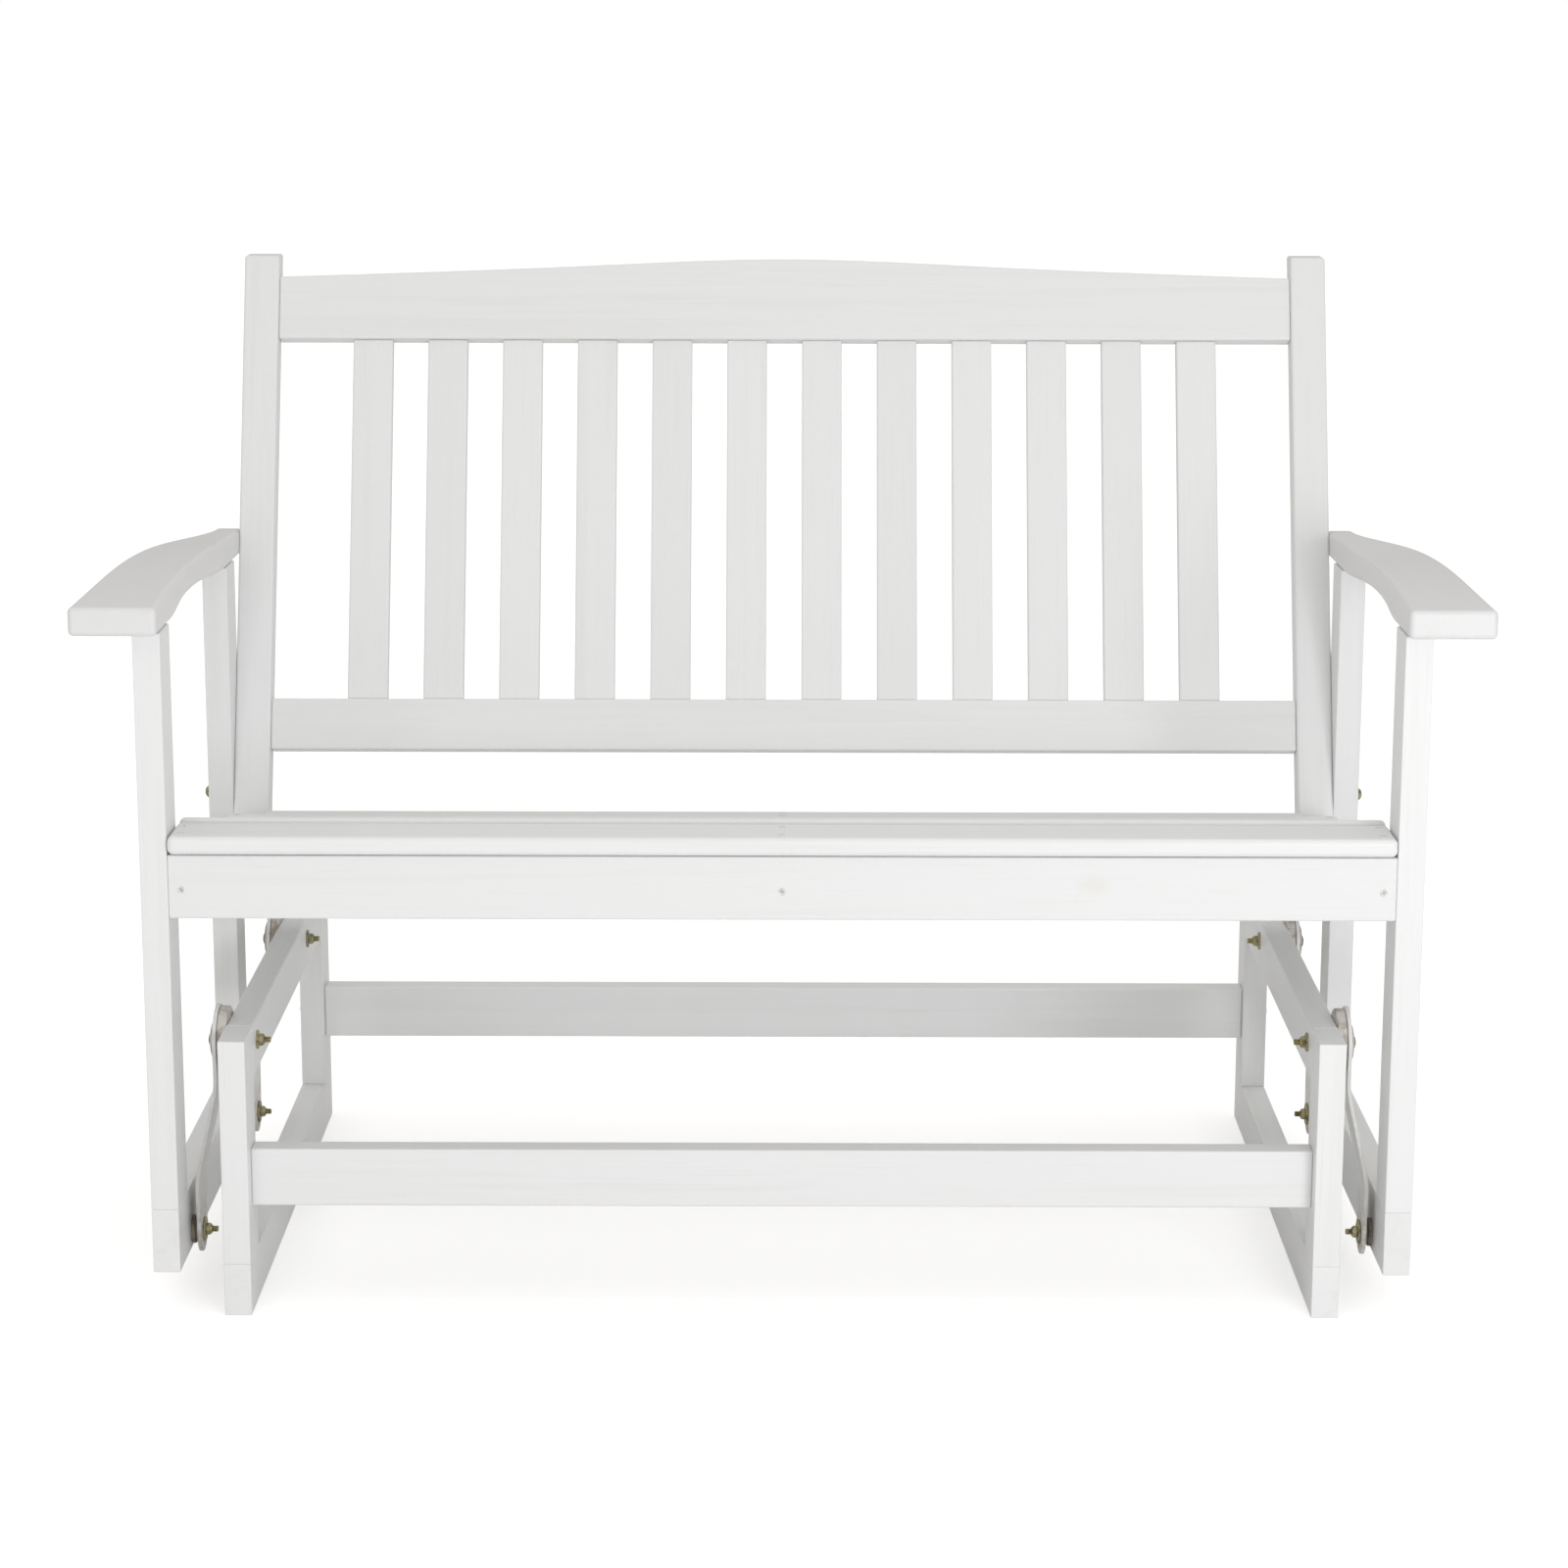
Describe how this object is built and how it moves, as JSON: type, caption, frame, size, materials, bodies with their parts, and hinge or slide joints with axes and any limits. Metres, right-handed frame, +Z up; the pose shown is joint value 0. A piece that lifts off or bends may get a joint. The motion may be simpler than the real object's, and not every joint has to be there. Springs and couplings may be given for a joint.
{
  "type": "glider bench",
  "caption": "Slatted wooden glider bench for the porch: a two-seat bench with curved arms hung on steel links from a low base, so that it swings fore and aft.",
  "frame": {"origin": "on the floor, under the middle of the whole bench's box", "axes": "+X across the bench to the sitter's left, seen on the right from the front; +Y from the front to the back; +Z up"},
  "size_m": [1.2786, 0.6546, 0.9361],
  "materials": {
    "painted_wood": "satin white paint on hardwood",
    "painted_steel": "satin white paint on steel plate",
    "zinc_steel": "yellow zinc plated steel",
    "painted_screw": "steel screw heads under white paint",
    "dark_spacer": "dark brown nylon",
    "pale_spacer": "pale brownish nylon"
  },
  "bodies": {
    "base": {"base_front_stretcher": "painted_wood", "base_left_bottom_rail": "painted_wood", "base_left_front_leg": "painted_wood", "base_left_rear_leg": "painted_wood", "base_left_top_rail": "painted_wood", "base_rear_stretcher": "painted_wood", "base_right_bottom_rail": "painted_wood", "base_right_front_leg": "painted_wood", "base_right_rear_leg": "painted_wood", "base_right_top_rail": "painted_wood", "base_stretcher_bolts": "zinc_steel", "upper_pivot_bolts": "zinc_steel", "upper_pivot_nuts": "zinc_steel", "upper_pivot_spacers": "pale_spacer", "upper_pivot_washers": "zinc_steel"},
    "link_front_left": {"link_front_left": "painted_steel"},
    "link_front_right": {"link_front_right": "painted_steel"},
    "link_rear_left": {"link_rear_left": "painted_steel"},
    "link_rear_right": {"link_rear_right": "painted_steel"},
    "seat": {"apron_screws": "painted_screw", "arm_left": "painted_wood", "arm_right": "painted_wood", "back_bolts": "zinc_steel", "back_bottom_rail": "painted_wood", "back_slat_01": "painted_wood", "back_slat_02": "painted_wood", "back_slat_03": "painted_wood", "back_slat_04": "painted_wood", "back_slat_05": "painted_wood", "back_slat_06": "painted_wood", "back_slat_07": "painted_wood", "back_slat_08": "painted_wood", "back_slat_09": "painted_wood", "back_slat_10": "painted_wood", "back_slat_11": "painted_wood", "back_slat_12": "painted_wood", "back_stile_left": "painted_wood", "back_stile_right": "painted_wood", "back_top_rail": "painted_wood", "lower_pivot_bolts": "zinc_steel", "lower_pivot_nuts": "zinc_steel", "lower_pivot_spacers": "dark_spacer", "lower_pivot_washers": "zinc_steel", "seat_apron": "painted_wood", "seat_left_front_post": "painted_wood", "seat_left_lower_rail": "painted_wood", "seat_left_rear_post": "painted_wood", "seat_rear_rail": "painted_wood", "seat_right_front_post": "painted_wood", "seat_right_lower_rail": "painted_wood", "seat_right_rear_post": "painted_wood", "seat_slat_1": "painted_wood", "seat_slat_2": "painted_wood", "seat_slat_3": "painted_wood", "seat_slat_4": "painted_wood", "seat_slat_5": "painted_wood", "seat_slat_6": "painted_wood", "seat_support_centre": "painted_wood", "seat_support_left": "painted_wood", "seat_support_right": "painted_wood"}
  },
  "joints": [
    {"name": "front_left_swing", "type": "hinge", "parent": "base", "child": "link_front_left", "pos_m": [-0.53, -0.2303, 0.244], "axis": [1, 0, 0], "range_deg": [-25, 25]},
    {"name": "seat_hang", "type": "hinge", "parent": "link_front_left", "child": "seat", "pos_m": [-0.551, -0.2303, 0.057], "axis": [1, 0, 0], "range_deg": [-25, 25]},
    {"name": "front_right_swing", "type": "hinge", "parent": "base", "child": "link_front_right", "pos_m": [0.53, -0.2303, 0.244], "axis": [1, 0, 0], "range_deg": [-25, 25]},
    {"name": "rear_left_swing", "type": "hinge", "parent": "base", "child": "link_rear_left", "pos_m": [-0.53, 0.1467, 0.244], "axis": [1, 0, 0], "range_deg": [-25, 25]},
    {"name": "rear_right_swing", "type": "hinge", "parent": "base", "child": "link_rear_right", "pos_m": [0.53, 0.1467, 0.244], "axis": [1, 0, 0], "range_deg": [-25, 25]}
  ],
  "couplings": [
    {"joint": "seat_hang", "follows": "front_left_swing", "ratio": -1},
    {"joint": "front_right_swing", "follows": "front_left_swing", "ratio": 1},
    {"joint": "rear_left_swing", "follows": "front_left_swing", "ratio": 1},
    {"joint": "rear_right_swing", "follows": "front_left_swing", "ratio": 1}
  ]
}
